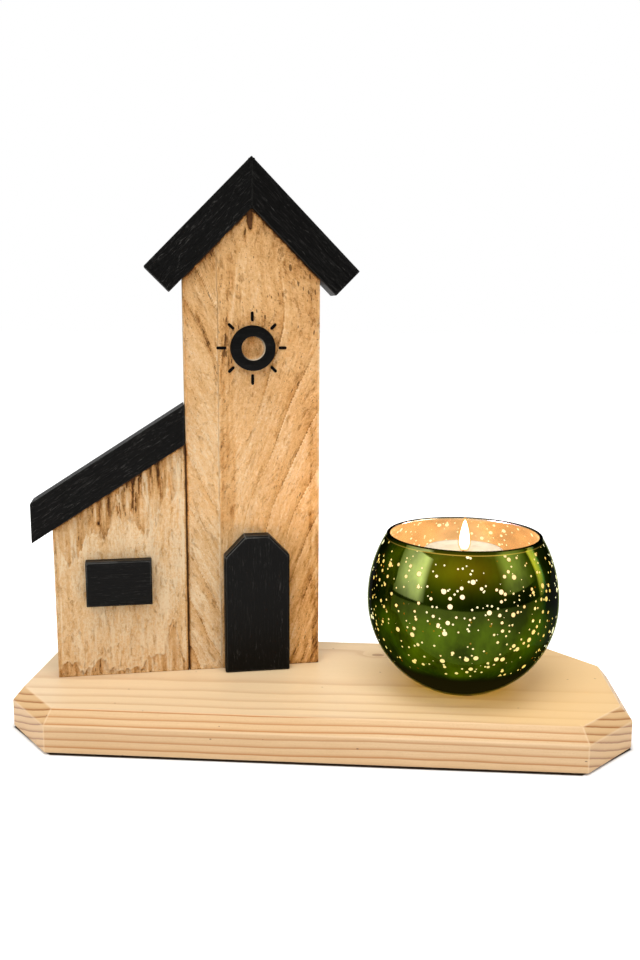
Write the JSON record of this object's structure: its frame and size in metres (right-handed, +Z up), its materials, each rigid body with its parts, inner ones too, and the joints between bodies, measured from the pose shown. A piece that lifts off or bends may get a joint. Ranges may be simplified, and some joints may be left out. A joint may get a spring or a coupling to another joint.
{
  "type": "tealight house",
  "caption": "Plank tower and lean-to with black batten roofs on a bevelled pine board, beside a round mirrored green glass bowl holding a candle.",
  "frame": {"origin": "on the table under the middle of the board, between the four felt pads", "axes": "+X along the board from the house to the bowl, +Y from the house's front to its back, +Z up"},
  "size_m": [0.3, 0.1124, 0.2767],
  "materials": {
    "pine_board": "planed pine, pale and matt, oiled lightly",
    "sawn_plank": "reclaimed softwood, sawn and lightly sanded",
    "black_batten": "matt black paint over sawn wood grain",
    "black_plaque": "matt black paint, smooth, with eased edges",
    "mirrored_green_glass": "green outside and silvered inside, with clear speckles",
    "candle_wax": "paraffin wax, satin, glowing near the flame",
    "cotton_wick": "braided cotton, burnt at its tip",
    "tinned_steel": "pressed tinned sheet",
    "plated_screw": "yellow zinc plated",
    "bright_steel": "bright steel pins, painted over black with the battens",
    "black_felt": "dark felt"
  },
  "bodies": {
    "house": {"plinth_board": "pine_board", "felt_pad_front_left": "black_felt", "felt_pad_front_right": "black_felt", "felt_pad_back_left": "black_felt", "felt_pad_back_right": "black_felt", "tower_plank": "sawn_plank", "lean_to_plank": "sawn_plank", "tower_roof_left": "black_batten", "tower_roof_right": "black_batten", "lean_to_roof": "black_batten", "door": "black_plaque", "window_panel": "black_plaque", "sun_ring": "black_plaque", "lean_to_screw_left": "plated_screw", "lean_to_screw_right": "plated_screw", "tower_screw_left": "plated_screw", "tower_screw_right": "plated_screw", "tower_roof_left_pin_low": "bright_steel", "tower_roof_left_pin_high": "bright_steel", "tower_roof_right_pin_low": "bright_steel", "tower_roof_right_pin_high": "bright_steel", "lean_to_roof_pin_low": "bright_steel", "lean_to_roof_pin_high": "bright_steel"},
    "bowl": {"glass_bowl": "mirrored_green_glass"},
    "candle": {"candle_wax": "candle_wax", "candle_wick": "cotton_wick", "wick_tab": "tinned_steel"}
  },
  "joints": [
    {"name": "bowl_lift", "type": "slide", "parent": "house", "child": "bowl", "axis": [0, 0, 1], "range_m": [0, 0.12]},
    {"name": "candle_lift", "type": "slide", "parent": "bowl", "child": "candle", "axis": [0, 0, 1], "range_m": [0, 0.08]}
  ]
}
